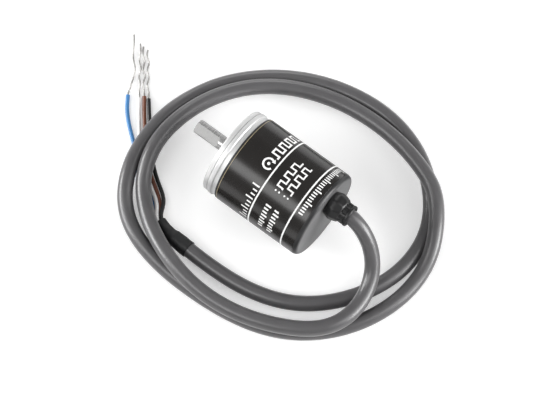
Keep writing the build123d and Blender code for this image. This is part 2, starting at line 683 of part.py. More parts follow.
def save_core(colour):
    """One core's copper and insulation, inside the case and beyond the jacket."""
    sideways, up = CORE_SIGNS[colour]
    pad_end = (PCB_REAR - 0.6, *PADS[colour])
    jacket_end = (CABLE[0][0] + CORE_GAP, GLAND_Y - sideways * CORE_OFF, GLAND_Z + up * CORE_OFF)
    stub = Line((PCB_FRONT + 0.1, *PADS[colour]), pad_end)
    head = curve([pad_end, jacket_end], REARWARD * 4, REARWARD * 4)

    first, first_dir = core_point(SHEATH_BACK - CORE_GAP, sideways, up)
    in_sleeve = [core_point(back, sideways, up)[0] for back in (4.6, 3.0, 1.5, 0.0)]
    tail = [first] + in_sleeve + CORE_TAIL[colour]
    strip_dir = last_direction(tail)
    loose = curve(tail, first_dir, strip_dir)
    bare = [tail[-1]] + BARE_END[colour]
    tip = curve(bare, strip_dir, last_direction(bare))

    copper = [pipe(chain, COPPER_R, CORE_STEP) for chain in ([stub, head], [loose, tip])]
    cover = [pipe([edge], CORE_R, CORE_STEP, bore=CORE_BORE_R) for edge in (head, loose)]
    save("conductor_" + colour, copper)
    save("wire_" + colour, cover)


save("cable_sheath", cable_sheath())
save("heat_shrink", heat_shrink())
for colour in CORE_SIGNS:
    save_core(colour)
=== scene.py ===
"""A round optical rotary encoder lying on a white floor with its cable coiled round it.

The shaft axis is the X axis, with the shaft and flange towards +X and the cable leaving
the rear wall towards -X. Sizes are millimetres unless said otherwise; MM turns them into metres.
"""
import bpy, bmesh, math
import numpy as np
from mathutils import Vector, Matrix


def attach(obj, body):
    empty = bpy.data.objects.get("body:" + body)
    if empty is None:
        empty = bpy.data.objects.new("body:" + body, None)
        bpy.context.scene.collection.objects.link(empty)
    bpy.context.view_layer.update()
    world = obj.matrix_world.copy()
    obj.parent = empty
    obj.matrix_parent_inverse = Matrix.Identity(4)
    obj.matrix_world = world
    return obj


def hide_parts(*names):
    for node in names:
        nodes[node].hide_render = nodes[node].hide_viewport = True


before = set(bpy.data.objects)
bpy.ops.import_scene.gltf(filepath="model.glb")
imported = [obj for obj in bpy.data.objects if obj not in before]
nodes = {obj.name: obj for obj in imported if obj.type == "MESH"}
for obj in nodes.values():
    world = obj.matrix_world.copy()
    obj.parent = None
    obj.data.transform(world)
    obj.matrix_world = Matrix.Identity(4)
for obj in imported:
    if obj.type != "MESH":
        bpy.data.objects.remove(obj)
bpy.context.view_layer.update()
MM = 0.001

# ---------------------------------------------------------------- driving sizes
CASE_R = 12.42
CASE_FRONT, CASE_REAR = -4.05, -30.6
REAR_WALL = 1.2             # also the radius of the rear corner
SIDE_WALL = 1.0
LABEL_R = 12.5
LABEL_FRONT, LABEL_REAR = -4.72, -29.35
INK_BASE, INK_TOP = LABEL_R - 0.005, LABEL_R + 0.012
GLAND_Y, GLAND_Z = -2.3, 6.6
GLAND_PLUG_R = 2.58         # the part of the gland that passes through the rear wall
JACKET_R = 2.085
CORE_R, CORE_BORE_R, COPPER_R = 0.55, 0.33, 0.25
CORE_OFFSET = 0.59          # each core from the cable's centre line, in both directions
JACKET_SHORT = 6.0          # the jacket stops this far before the end of the cable line
SLEEVE_OVERLAP = 5.0        # the sleeve's grip on the jacket


# ---------------------------------------------------------------- shader building
def grey(value):
    return (value,) * 3


def scaled(color, factor):
    return [channel * factor for channel in color]


class Nodes:
    """Short ways to add nodes to a tree. An input is given as a value or as a socket to link."""

    def __init__(self, tree):
        self.tree = tree

    def feed(self, target, inputs):
        for key, value in inputs.items():
            if isinstance(value, bpy.types.NodeSocket):
                self.tree.links.new(value, target.inputs[key])
            else:
                target.inputs[key].default_value = value

    def node(self, kind, inputs=None, **settings):
        made = self.tree.nodes.new("ShaderNode" + kind)
        for key, value in settings.items():
            setattr(made, key, value)
        self.feed(made, inputs or {})
        return made

    def math(self, operation, *inputs):
        return self.node("Math", dict(enumerate(inputs)), operation=operation).outputs[0]

    def add(self, first, second, weight):
        """first + second * weight"""
        return self.math("MULTIPLY_ADD", second, weight, first)

    def coords(self, scale=(1, 1, 1)):
        """Object coordinates in millimetres, scaled."""
        place = self.node("TexCoord").outputs["Object"]
        return self.node("Mapping", {"Vector": place, "Scale": scaled(scale, 1000)}).outputs[0]

    def xyz(self, place):
        """The x, y and z sockets, in metres, of a texture coordinate node."""
        return self.node("SeparateXYZ", {0: place.outputs["Object"]}).outputs

    def turned(self, along, radial):
        """(x * along, radius * radial, 0): streaks that run round the shaft axis."""
        x, y, z = self.xyz(self.node("TexCoord"))
        square = self.math("MULTIPLY_ADD", z, z, self.math("MULTIPLY", y, y))
        radius = self.math("SQRT", square)
        return self.node("CombineXYZ", {
            0: self.math("MULTIPLY", x, along * 1000),
            1: self.math("MULTIPLY", radius, radial * 1000)}).outputs[0]

    def noise(self, place, scale, detail, rough):
        return self.node("TexNoise", {
            "Vector": place, "Scale": scale, "Detail": detail, "Roughness": rough}).outputs["Fac"]

    def ramp(self, value, *stops):
        """Colour ramp through (position, colour) stops."""
        made = self.node("ValToRGB", {"Fac": value})
        elements = made.color_ramp.elements
        while len(elements) > 1:
            elements.remove(elements[-1])
        elements[0].position = stops[0][0]
        elements[0].color = (*stops[0][1], 1)
        for position, color in stops[1:]:
            elements.new(position).color = (*color, 1)
        return made.outputs["Color"]

    def remap(self, value, to, span=(0.3, 0.7)):
        """Carries the span of values to the range `to`."""
        return self.node("MapRange", {
            "Value": value, "From Min": span[0], "From Max": span[1],
            "To Min": to[0], "To Max": to[1]}).outputs["Result"]

    def bump(self, height, strength, depth):
        return self.node("Bump", {
            "Height": height, "Strength": strength, "Distance": depth * MM}).outputs["Normal"]

    def mix(self, factor, first, second, kind="RGBA"):
        # a mix node holds one pair of inputs, and one output, for each kind of data
        slot, output = (6, 2) if kind == "RGBA" else (2, 0)
        inputs = {"Factor": factor, slot: first, slot + 1: second}
        return self.node("Mix", inputs, data_type=kind).outputs[output]


class Surface(Nodes):
    """A material with one Principled shader."""

    def __init__(self, name):
        self.material = bpy.data.materials.new(name)
        self.material.use_nodes = True
        super().__init__(self.material.node_tree)
        self.tree.nodes.clear()
        self.output = self.node("OutputMaterial")
        self.bsdf = self.node("BsdfPrincipled")
        self.feed(self.output, {"Surface": self.bsdf.outputs["BSDF"]})

    def shade(self, inputs):
        self.feed(self.bsdf, inputs)

    def source(self, name):
        """The socket now linked to an input of the shader."""
        return self.bsdf.inputs[name].links[0].from_socket


# ---------------------------------------------------------------- kinds of material
def metal(name, color, rough, var, grain_scale, bump, dark,
          grain=(1, 1, 1), turned=None, aniso=0.0, metallic=1.0):
    """var spreads the roughness, dark scales the darker tone, turned gives lathe streaks."""
    s = Surface(name)
    place = s.turned(*turned) if turned else s.coords(grain)
    fine = s.noise(place, scale=grain_scale, detail=6, rough=0.65)
    broad = s.noise(s.coords(), scale=0.25, detail=3, rough=0.5)
    tone = s.add(fine, broad, weight=0.6)
    s.shade({
        "Base Color": s.ramp(tone, (0.55, scaled(color, dark)), (0.95, color)),
        "Roughness": s.remap(fine, to=(rough * (1 - 2 * var), rough * (1 + 3 * var))),
        "Metallic": metallic,
        "Anisotropic": aniso,
        "Normal": s.bump(fine, strength=bump, depth=0.02)})
    return s


def plastic(name, color, rough, dark, grain_scale, bump,
            depth=0.02, coat=0.0, coat_rough=0.15, spec=0.5):
    s = Surface(name)
    fine = s.noise(s.coords(), scale=grain_scale, detail=5, rough=0.6)
    broad = s.noise(s.coords(), scale=0.3, detail=4, rough=0.55)
    tone = s.add(fine, broad, weight=0.8)
    s.shade({
        "Base Color": s.ramp(tone, (0.6, scaled(color, dark)), (1.15, color)),
        "Roughness": s.remap(broad, to=(rough * 0.88, rough * 1.14)),
        "Specular IOR Level": spec,
        "Coat Weight": coat,
        "Coat Roughness": coat_rough,
        "Normal": s.bump(fine, strength=bump, depth=depth)})
    return s


def painted_rim_sheen(s, color, amount):
    """Painted rim sheen: base colour paler towards the outline, standing in for the bright edge
    that grazing light gives soft vinyl.
    """
    facing = s.node("LayerWeight", {"Blend": 0.5}).outputs["Facing"]
    lift = s.ramp(facing, (0.45, grey(0)), (0.80, grey(amount * 0.45)), (1.0, grey(amount)))
    s.shade({"Base Color": s.mix(lift, s.source("Base Color"), (*color, 1))})


def shaded_milled_flat(s, normal, x_min):
    """Cross-milled look where the surface faces along normal, ahead of x_min: rougher with milling
    lines, and its colour painted darker as painted shade that dims the key light's reflection
    there.
    """
    place = s.node("TexCoord")
    dot = s.node("VectorMath", {0: place.outputs["Normal"], 1: normal}, operation="DOT_PRODUCT")
    facing = s.remap(dot.outputs["Value"], to=(0.0, 1.0), span=(0.985, 0.995))
    ahead = s.remap(s.xyz(place)["X"], to=(0.0, 1.0), span=((x_min - 0.1) * MM, x_min * MM))
    on_flat = s.math("MULTIPLY", facing, ahead)
    lines = s.noise(s.coords((9, 0.5, 0.5)), scale=1.6, detail=4, rough=0.6)
    # painted shade on the flat: a darker tone, with the real milling lines drawn through it
    milled_and_shaded = s.ramp(lines, (0.3, (0.30, 0.298, 0.295)), (0.75, (0.42, 0.418, 0.414)))
    s.shade({
        "Base Color": s.mix(on_flat, s.source("Base Color"), milled_and_shaded),
        "Roughness": s.mix(on_flat, s.source("Roughness"), 0.42, kind="FLOAT")})


def resin_material():
    s = Surface("clear_resin")
    color = (0.86, 0.9, 0.98)
    fine = s.noise(s.coords(), scale=3.0, detail=3, rough=0.5)
    s.shade({
        "Base Color": s.ramp(fine, (0.3, scaled(color, 0.92)), (0.8, color)),
        "Roughness": s.remap(fine, to=(0.064, 0.104)),
        "Transmission Weight": 0.85,
        "IOR": 1.5})
    return s


def case_material():
    """Satin black coat; the flat rear face is painted a lighter grey, a painted reflection of the
    bright table and side light it faces.
    """
    s = Surface("case_black")
    fine = s.noise(s.coords(), scale=18, detail=5, rough=0.6)
    broad = s.noise(s.coords(), scale=0.22, detail=4, rough=0.5)
    tone = s.add(fine, broad, weight=0.6)
    side = s.ramp(tone, (0.55, (0.014, 0.014, 0.015)), (1.0, (0.024, 0.024, 0.025)))
    # painted reflection: this lighter grey on the rear face stands in for the table and side light
    # it reflects
    face = s.ramp(tone, (0.55, (0.105, 0.105, 0.107)), (1.0, (0.145, 0.145, 0.147)))
    # mask of the flat rear face, which takes the painted reflection
    rear = s.remap(s.xyz(s.node("TexCoord"))["X"], to=(0.0, 1.0),
                   span=((CASE_REAR + 0.3) * MM, (CASE_REAR + 0.02) * MM))
    s.shade({
        "Base Color": s.mix(rear, side, face),
        "Roughness": s.remap(broad, to=(0.33, 0.42)),
        "Specular IOR Level": 0.55,
        "Normal": s.bump(fine, strength=0.25, depth=0.012)})
    return s


def label_material():
    """Printed polyester film: glossy, warm near-black, with print grain and handling scuffs."""
    s = Surface("label_film")
    grain = s.noise(s.coords(), scale=26, detail=4, rough=0.6)
    broad = s.noise(s.coords(), scale=0.16, detail=4, rough=0.55)
    scuff = s.noise(s.coords((0.25, 3, 3)), scale=2.2, detail=5, rough=0.7)
    tone = s.add(grain, broad, weight=0.9)
    s.shade({
        "Base Color": s.ramp(tone, (0.62, (0.0055, 0.0048, 0.0044)),
                             (1.1, (0.012, 0.0103, 0.0092))),
        "Roughness": s.remap(scuff, to=(0.20, 0.28)),
        "Specular IOR Level": 0.55,
        "Coat Weight": 0.2,
        "Coat Roughness": 0.18,
        "Normal": s.bump(s.add(grain, broad, weight=2.0), strength=0.018, depth=0.012)})
    return s


def ink_material():
    s = Surface("print_white")
    fine = s.noise(s.coords(), scale=20, detail=5, rough=0.6)
    s.shade({
        "Base Color": s.ramp(fine, (0.3, (0.90, 0.90, 0.89)), (0.75, (0.97, 0.97, 0.96))),
        "Roughness": s.remap(fine, to=(0.34, 0.46)),
        "Normal": s.bump(fine, strength=0.2, depth=0.006)})
    return s


def edge_material():
    s = Surface("label_edge")
    fine = s.noise(s.coords(), scale=8, detail=4, rough=0.6)
    s.shade({
        "Base Color": s.ramp(fine, (0.3, (0.33, 0.27, 0.16)), (0.75, (0.52, 0.44, 0.28))),
        "Roughness": s.remap(fine, to=(0.3, 0.45))})
    return s


# ---------------------------------------------------------------- the materials
ALUMINIUM = metal("turned_aluminium", (0.80, 0.80, 0.80), rough=0.44, var=0.10, turned=(9, 9),
                  grain_scale=1.6, bump=0.4, aniso=0.3, dark=0.82, metallic=0.6)
SHAFT_STEEL = metal("shaft_steel", (0.74, 0.735, 0.73), rough=0.26, var=0.10, turned=(14, 3),
                    grain_scale=1.8, bump=0.14, aniso=0.2, dark=0.86, metallic=0.75)
BEARING = metal("bearing_steel", (0.72, 0.72, 0.73), rough=0.16, var=0.08, turned=(12, 12),
                grain_scale=1.5, bump=0.06, dark=0.9)
BALL = metal("ball_steel", (0.78, 0.78, 0.79), rough=0.06, var=0.05,
             grain_scale=5, bump=0.02, dark=0.95)
PRESSED = metal("pressed_steel", (0.58, 0.58, 0.59), rough=0.34, var=0.10, grain=(2, 9, 9),
                grain_scale=2, bump=0.2, dark=0.85)
SPRING = metal("spring_steel", (0.20, 0.20, 0.215), rough=0.32, var=0.12,
               grain_scale=8, bump=0.2, dark=0.7)
SCREW = metal("screw_steel", (0.60, 0.60, 0.62), rough=0.28, var=0.10, grain=(6, 1, 1),
              grain_scale=3, bump=0.2, dark=0.8)
BRASS = metal("hub_brass", (0.78, 0.61, 0.30), rough=0.27, var=0.10, turned=(10, 10),
              grain_scale=1.7, bump=0.2, dark=0.85)
ETCHED = metal("etched_sheet", (0.68, 0.69, 0.71), rough=0.22, var=0.10,
               grain_scale=9, bump=0.15, dark=0.85)
CLAMP = metal("clamp_aluminium", (0.82, 0.82, 0.83), rough=0.3, var=0.10, turned=(10, 10),
              grain_scale=1.7, bump=0.2, dark=0.9)
TINNED = metal("tinned_metal", (0.62, 0.61, 0.595), rough=0.36, var=0.15,
               grain_scale=7, bump=0.3, dark=0.7)
SOLDER = metal("solder", (0.74, 0.74, 0.73), rough=0.2, var=0.15,
               grain_scale=4, bump=0.3, dark=0.75)

SPINDLE = metal("shaft_ground", (0.62, 0.617, 0.613), rough=0.27, var=0.05, turned=(14, 3),
                grain_scale=1.8, bump=0.05, aniso=0.2, dark=0.93, metallic=0.85)
FLAT_ANGLE = math.radians(34)       # the shaft's flat, from +Z towards +Y
# the shaft's flat: milled, and painted darker as shade
shaded_milled_flat(SPINDLE, normal=(0.0, math.sin(FLAT_ANGLE), math.cos(FLAT_ANGLE)), x_min=3.5)

MOULDING = plastic("black_moulding", (0.022, 0.022, 0.024), rough=0.5, dark=0.6,
                   grain_scale=14, bump=0.3)
RESIN = resin_material()
SENSOR = plastic("sensor_resin", (0.05, 0.02, 0.03), rough=0.18, dark=0.7,
                 grain_scale=6, bump=0.05, coat=0.5)
BOARD = plastic("board_green", (0.018, 0.16, 0.06), rough=0.30, dark=0.7,
                grain_scale=10, bump=0.12, coat=0.4)
CHIP = plastic("chip_ceramic", (0.05, 0.045, 0.045), rough=0.3, dark=0.7,
               grain_scale=14, bump=0.15, coat=0.3)
CAPACITOR = plastic("capacitor_ceramic", (0.42, 0.30, 0.19), rough=0.38, dark=0.75,
                    grain_scale=16, bump=0.2)
RUBBER = plastic("gland_rubber", (0.007, 0.007, 0.0075), rough=0.36, dark=0.6,
                 grain_scale=22, bump=0.3, spec=0.6)
SLEEVE = plastic("sleeve_black", (0.016, 0.016, 0.017), rough=0.50, dark=0.6,
                 grain_scale=10, bump=0.45, depth=0.03, spec=0.42)
JACKET = plastic("jacket_grey", (0.088, 0.086, 0.089), rough=0.34, dark=0.86, grain_scale=14,
                 bump=0.20, depth=0.012, spec=0.6, coat=0.45, coat_rough=0.30)
# painted rim sheen on the jacket: its base colour is paler towards the outline
painted_rim_sheen(JACKET, color=(0.34, 0.335, 0.34), amount=0.8)
BROWN = plastic("core_brown", (0.20, 0.075, 0.045), rough=0.32, dark=0.8,
                grain_scale=9, bump=0.2, coat=0.2)
BLACK = plastic("core_black", (0.018, 0.018, 0.019), rough=0.34, dark=0.7,
                grain_scale=9, bump=0.2, coat=0.2)
WHITE = plastic("core_white", (0.93, 0.92, 0.91), rough=0.36, dark=0.96,
                grain_scale=9, bump=0.2, coat=0.15)
BLUE = plastic("core_blue", (0.07, 0.25, 0.55), rough=0.32, dark=0.8,
               grain_scale=9, bump=0.2, coat=0.2)
CASE, LABEL, INK, EDGE = case_material(), label_material(), ink_material(), edge_material()

for surface, pieces in (
    (ALUMINIUM, "mounting_flange"),
    (CASE, "case_cup"),
    (LABEL, "label_film"),
    (BEARING, "front_bearing_outer_race front_bearing_inner_race "
              "rear_bearing_outer_race rear_bearing_inner_race"),
    (BALL, "front_bearing_balls rear_bearing_balls"),
    (PRESSED, "front_bearing_cage rear_bearing_cage front_bearing_shields "
              "rear_bearing_shields preload_washer bearing_retainer"),
    (SHAFT_STEEL, "bearing_spacer inner_spacer"),
    (SCREW, "retainer_screws pcb_screws hub_set_screw"),
    (SPINDLE, "shaft"),
    (SPRING, "retaining_ring"),
    (BRASS, "disk_hub pcb_standoffs cable_anchor"),
    (ETCHED, "code_disk mask_plate"),
    (CLAMP, "disk_clamp_ring"),
    (MOULDING, "led_holder comparator_ic transistors"),
    (RESIN, "ir_led"),
    (SENSOR, "photo_sensor"),
    (BOARD, "pcb_main"),
    (CHIP, "resistors"),
    (CAPACITOR, "capacitors"),
    (SOLDER, "solder_joints"),
    (TINNED, "led_leads sensor_pins comparator_pins transistor_leads "
             "conductor_brown conductor_black conductor_white conductor_blue"),
    (RUBBER, "cable_gland"),
    (JACKET, "cable_sheath"),
    (SLEEVE, "heat_shrink"),
    (BROWN, "wire_brown"),
    (BLACK, "wire_black"),
    (WHITE, "wire_white"),
    (BLUE, "wire_blue"),
):
    for piece in pieces.split():
        slots = nodes[piece].data.materials
        slots.clear()
        slots.append(surface.material)


# ---------------------------------------------------------------- mesh tools
def mesh_object(name, verts, faces, surface):
    mesh = bpy.data.meshes.new(name)
    mesh.from_pydata([tuple(c * MM for c in v) for v in verts], [], faces)
    mesh.validate()
    mesh.update()
    obj = bpy.data.objects.new(name, mesh)
    bpy.context.scene.collection.objects.link(obj)
    mesh.materials.append(surface.material)
    for face in mesh.polygons:
        face.use_smooth = True
    return obj


def sharp_by_angle(obj, degrees):
    bm = bmesh.new()
    bm.from_mesh(obj.data)
    bmesh.ops.recalc_face_normals(bm, faces=bm.faces)
    for edge in bm.edges:
        if len(edge.link_faces) == 2 and edge.calc_face_angle(0) > math.radians(degrees):
            edge.smooth = False
    bm.to_mesh(obj.data)
    bm.free()
    return obj


def mount(obj, replaces=None):
    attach(obj, "housing")
    if replaces:
        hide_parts(replaces)


# Faces between two rings of count vertices, whose first vertices are a and b.
def belt(a, b, count):
    return [(a + k, a + (k + 1) % count, b + (k + 1) % count, b + k) for k in range(count)]


def inner_belt(a, b, count):
    return [(a + (k + 1) % count, a + k, b + k, b + (k + 1) % count) for k in range(count)]


def rim(outer, inner, count, flip):
    faces = [(outer + k, inner + k, inner + (k + 1) % count, outer + (k + 1) % count)
             for k in range(count)]
    return [face[::-1] for face in faces] if flip else faces


def lengths(points):
    """Distance along the points, from 0."""
    return np.r_[0, np.cumsum(np.linalg.norm(np.diff(points, axis=0), axis=1))]


def unit(vector):
    vector = np.array(vector, float)
    return vector / np.linalg.norm(vector)


class Spline:
    """Cubic spline through points, with chord-length parameters and given end slopes."""

    def __init__(self, points, start_slope, end_slope):
        self.points = np.array(points, float)
        self.knots = lengths(self.points)
        gaps = np.diff(self.knots)
        n = len(self.points)
        matrix = np.zeros((n, n))
        rhs = np.zeros((n, 3))
        matrix[0, 0] = matrix[-1, -1] = 1
        rhs[0] = start_slope
        rhs[-1] = end_slope
        for i in range(1, n - 1):
            before, after = gaps[i - 1], gaps[i]
            matrix[i, i - 1:i + 2] = 1 / before, 2 * (1 / before + 1 / after), 1 / after
            rhs[i] = 3 * ((self.points[i] - self.points[i - 1]) / before ** 2
                          + (self.points[i + 1] - self.points[i]) / after ** 2)
        self.slopes = np.linalg.solve(matrix, rhs)

    def at(self, s):
        s = np.clip(s, 0, self.knots[-1])
        i = np.clip(np.searchsorted(self.knots, s, side="right") - 1, 0, len(self.knots) - 2)
        gap = (self.knots[i + 1] - self.knots[i])[:, None]
        t = (s - self.knots[i])[:, None] / gap
        return ((2 * t**3 - 3 * t**2 + 1) * self.points[i]
                + (t**3 - 2 * t**2 + t) * self.slopes[i] * gap
                + (-2 * t**3 + 3 * t**2) * self.points[i + 1]
                + (t**3 - t**2) * self.slopes[i + 1] * gap)

    def sample(self, step):
        """Points at even distances, about step apart."""
        s = np.linspace(0, self.knots[-1], max(8, int(self.knots[-1] / 0.2)))
        run = lengths(self.at(s))
        n = max(3, int(round(run[-1] / step)))
        return self.at(np.interp(np.linspace(0, run[-1], n + 1), run, s))


def frames_of(path):
    """Level sideways vector and upward vector at each point of a path."""
    ahead = np.gradient(path, axis=0)
    ahead /= np.linalg.norm(ahead, axis=1)[:, None]
    side = np.cross(np.array([0, 0, 1.0]), ahead)
    side /= np.linalg.norm(side, axis=1)[:, None]
    return side, np.cross(ahead, side)


def ring_points(centres, frames, radii, around, shape=None):
    """A ring of vertices at each centre. shape(angle, i) scales the radius."""
    side, up = frames
    radii = np.broadcast_to(radii, len(centres))
    return [centres[i] + radii[i] * (shape(a, i) if shape else 1.0)
            * (math.cos(a) * side[i] + math.sin(a) * up[i])
            for i in range(len(centres))
            for a in np.linspace(0, 2 * math.pi, around, endpoint=False)]


def tube_mesh(name, path, radius, surface, around, inner=None, shape=None):
    """Tube along a path: closed at its ends, or open with a bore of radius inner."""
    frames = frames_of(path)
    verts = ring_points(path, frames, radius, around, shape)
    bore = len(verts)
    starts = range(0, bore - around, around)
    faces = [face for a in starts for face in belt(a, a + around, around)]
    ends = (0, bore - around)
    if inner:
        verts += ring_points(path, frames, inner, around)
        for a in starts:
            faces += inner_belt(bore + a, bore + a + around, around)
        for end in ends:
            faces += rim(end, bore + end, around, flip=end > 0)
    else:
        for end, point in zip(ends, (path[0], path[-1])):
            centre = len(verts)
            verts.append(point)
            for k in range(around):
                face = (centre, end + (k + 1) % around, end + k)
                faces.append(face[::-1] if end else face)
    return sharp_by_angle(mesh_object(name, verts, faces, surface), 50)


def revolve_x(name, profile, surface, around, y=0.0, z=0.0, reshape=None, sharp=32):
    """Solid turned about the line parallel to X through (y, z).

    profile is a closed loop of (x, radius); reshape(angle, x, radius) gives a new radius.
    """
    verts, faces, rows = [], [], []
    for x, r in profile:
        first = len(verts)
        if r < 1e-6:
            verts.append((x, y, z))
            rows.append([first] * around)
            continue
        for k in range(around):
            a = 2 * math.pi * k / around
            radius = reshape(a, x, r) if reshape else r
            verts.append((x, y + radius * math.sin(a), z + radius * math.cos(a)))
        rows.append(range(first, first + around))
    for row, following in zip(rows, rows[1:] + rows[:1]):
        for k in range(around):
            k2 = (k + 1) % around
            # on the axis the corners coincide, and are kept once
            face = tuple(dict.fromkeys((row[k], row[k2], following[k2], following[k])))
            if len(face) >= 3:
                faces.append(face)
    return sharp_by_angle(mesh_object(name, verts, faces, surface), sharp)


# ---------------------------------------------------------------- case and label
def case_shell():
    """The cup as a smooth turned shell, with the gland's hole cut through its rear wall."""
    bevel = 0.12
    floor_x = CASE_REAR + REAR_WALL
    bore_r = CASE_R - SIDE_WALL
    corner = [math.radians(90 + 90 * i / 14) for i in range(15)]
    profile = [
        (CASE_FRONT, bore_r), (CASE_FRONT, CASE_R - bevel), (CASE_FRONT - bevel, CASE_R),
        *((floor_x + REAR_WALL * math.cos(a), CASE_R - REAR_WALL + REAR_WALL * math.sin(a))
          for a in corner),
        (CASE_REAR, 0.0), (floor_x, 0.0), (floor_x, bore_r)]
    shell = revolve_x("case_shell", profile, CASE, 256)
    hole_r = GLAND_PLUG_R + 0.04
    rear, front = CASE_REAR - 1.0, floor_x + 1.0
    cutter = revolve_x("case_cut", [(rear, 0.0), (rear, hole_r), (front, hole_r), (front, 0.0)],
                       CASE, 64, GLAND_Y, GLAND_Z)
    hole = shell.modifiers.new("hole", "BOOLEAN")
    hole.operation = "DIFFERENCE"
    hole.object = cutter
    hole.solver = "EXACT"
    bpy.context.view_layer.update()
    graph = bpy.context.evaluated_depsgraph_get()
    mesh = bpy.data.meshes.new_from_object(shell.evaluated_get(graph))
    shell.modifiers.clear()
    shell.data = mesh
    bpy.data.objects.remove(cutter, do_unlink=True)
    for face in mesh.polygons:
        face.use_smooth = True
    return sharp_by_angle(shell, 32)


mount(case_shell(), replaces="case_cup")

film = revolve_x("label_wrap", [
    (LABEL_FRONT, CASE_R), (LABEL_FRONT, LABEL_R - 0.015), (LABEL_FRONT - 0.02, LABEL_R),
    (LABEL_REAR + 0.02, LABEL_R), (LABEL_REAR, LABEL_R - 0.015), (LABEL_REAR, CASE_R)], LABEL, 256)
mount(film, replaces="label_film")

EDGE_FRONT, EDGE_REAR = -4.69, -4.81
label_edge = revolve_x("label_front_edge", [
    (EDGE_FRONT, CASE_R + 0.005), (EDGE_FRONT, LABEL_R), (-4.745, INK_TOP),
    (EDGE_REAR, INK_TOP), (EDGE_REAR, CASE_R + 0.005)], EDGE, 256)
mount(label_edge)


# ---------------------------------------------------------------- print
def on_label(x, angle, r, shift=0.0):
    """Point at an angle in degrees from +Z towards +Y, moved shift mm further round."""
    a = math.radians(angle) + shift / LABEL_R
    return (x, r * math.sin(a), r * math.cos(a))


class Print:
    """Raised ink on the label, as closed curved patches placed by x and angle in degrees."""

    def __init__(self):
        self.verts, self.faces = [], []

    def patch(self, x0, x1, a0, a1):
        full = a1 - a0 >= 359.9
        n = max(1, math.ceil((a1 - a0) / 1.5))
        base = len(self.verts)
        columns = n if full else n + 1
        for i in range(columns):
            for x, r in ((x0, INK_BASE), (x1, INK_BASE), (x1, INK_TOP), (x0, INK_TOP)):
                self.verts.append(on_label(x, a0 + (a1 - a0) * i / n, r))
        for i in range(n):
            self.faces += belt(base + i * 4, base + (i + 1) % columns * 4, 4)
        if not full:
            self.close(base, base + n * 4)

    def close(self, first, last):
        """End faces of a strip with four vertices to a section."""
        self.faces.append((first + 3, first + 2, first + 1, first))
        self.faces.append((last, last + 1, last + 2, last + 3))

    def disc(self, x, angle, radius, n=28):
        base = len(self.verts)
        for r in (INK_BASE, INK_TOP):
            self.verts.append(on_label(x, angle, r))
            for k in range(n):
                t = 2 * math.pi * k / n
                self.verts.append(
                    on_label(x + radius * math.sin(t), angle, r, radius * math.cos(t)))
        top = base + n + 1
        for k, side in enumerate(belt(base + 1, top + 1, n)):
            k2 = (k + 1) % n
            self.faces += [(base, base + 1 + k2, base + 1 + k),
                           (top, top + 1 + k, top + 1 + k2), side]

    def ring_arc(self, x, angle, r_out, r_in, start, end, n):
        """Flat band of a circle centred on (x, angle), between two angles of its own."""
        base = len(self.verts)
        for i in range(n + 1):
            t = math.radians(start + (end - start) * i / n)
            for radius, r in ((r_in, INK_BASE), (r_out, INK_BASE),
                              (r_out, INK_TOP), (r_in, INK_TOP)):
                self.verts.append(
                    on_label(x + radius * math.sin(t), angle, r, radius * math.cos(t)))
        for i in range(n):
            self.faces += belt(base + i * 4, base + i * 4 + 4, 4)
        self.close(base, base + n * 4)

    def arrow_head(self, x, angle, radius, end, size):
        """Triangle at the end of an arc, pointing the way the arc runs."""
        t = math.radians(end)
        base = len(self.verts)
        for r in (INK_BASE, INK_TOP):
            for out, ahead in ((radius - size, 0.0), (radius + size, 0.0), (radius, size * 1.5)):
                self.verts.append(on_label(
                    x + out * math.sin(t) + ahead * math.cos(t), angle, r,
                    out * math.cos(t) - ahead * math.sin(t)))
        self.faces += [(base, base + 2, base + 1), (base + 3, base + 4, base + 5)]
        self.faces += belt(base, base + 3, 3)

    def wave(self, x_lo, x_hi, a0, a1, period, stroke, phase):
        """Square pulse train drawn round the case."""
        half = stroke / 2
        half_angle = math.degrees(stroke / LABEL_R) / 2
        at_lo = phase < 0.5
        turn = a0 + ((0.5 if at_lo else 1) - phase) * period
        a = a0
        steps = []
        while a < a1 - 1e-6:
            end = min(turn, a1)
            x = x_lo if at_lo else x_hi
            self.patch(x - half, x + half, a - half_angle, end + half_angle)
            if end < a1 - 1e-6:
                steps.append(end)
            a = end
            at_lo = not at_lo
            turn = end + 0.5 * period
        for step in steps:
            self.patch(x_lo + half, x_hi - half, step - half_angle, step + half_angle)

    def build(self, name):
        obj = mesh_object(name, self.verts, self.faces, INK)
        mount(sharp_by_angle(obj, math.degrees(0.6)))


rings = Print()
for x in (-15.15, -25.66):
    rings.patch(x - 0.21, x + 0.21, 0, 360)
rings.build("label_rings")

marks = Print()
# rotation sign: an open ring with an arrow head, then a pulse train
SIGN = {"x": -12.85, "angle": 2.5}
SIGN_R, SIGN_STROKE, SIGN_END = 1.45, 0.52, 205
marks.ring_arc(**SIGN, r_out=SIGN_R + SIGN_STROKE / 2, r_in=SIGN_R - SIGN_STROKE / 2,
               start=-60, end=SIGN_END, n=40)
marks.arrow_head(**SIGN, radius=SIGN_R, end=SIGN_END, size=0.62)
marks.disc(**SIGN, radius=0.42)
marks.wave(-13.95, -11.75, -62, -9, period=13.2, stroke=0.5, phase=0.2)
# graduated ticks, the far side of the same field
for i in range(10):
    marks.patch(-14.5, -12.3 if i % 3 == 0 else -13.2, 31 + i * 6.0, 32.9 + i * 6.0)
# two rows: x, phase of the trace, and which strokes of the legend are tall
ROWS = (
    (-18.95, 0.05, (1, 0, 0, 1, 0, 1, 0, 0)),
    (-21.75, 0.30, (0, 1, 0, 1, 0, 0, 1, 0)),
)
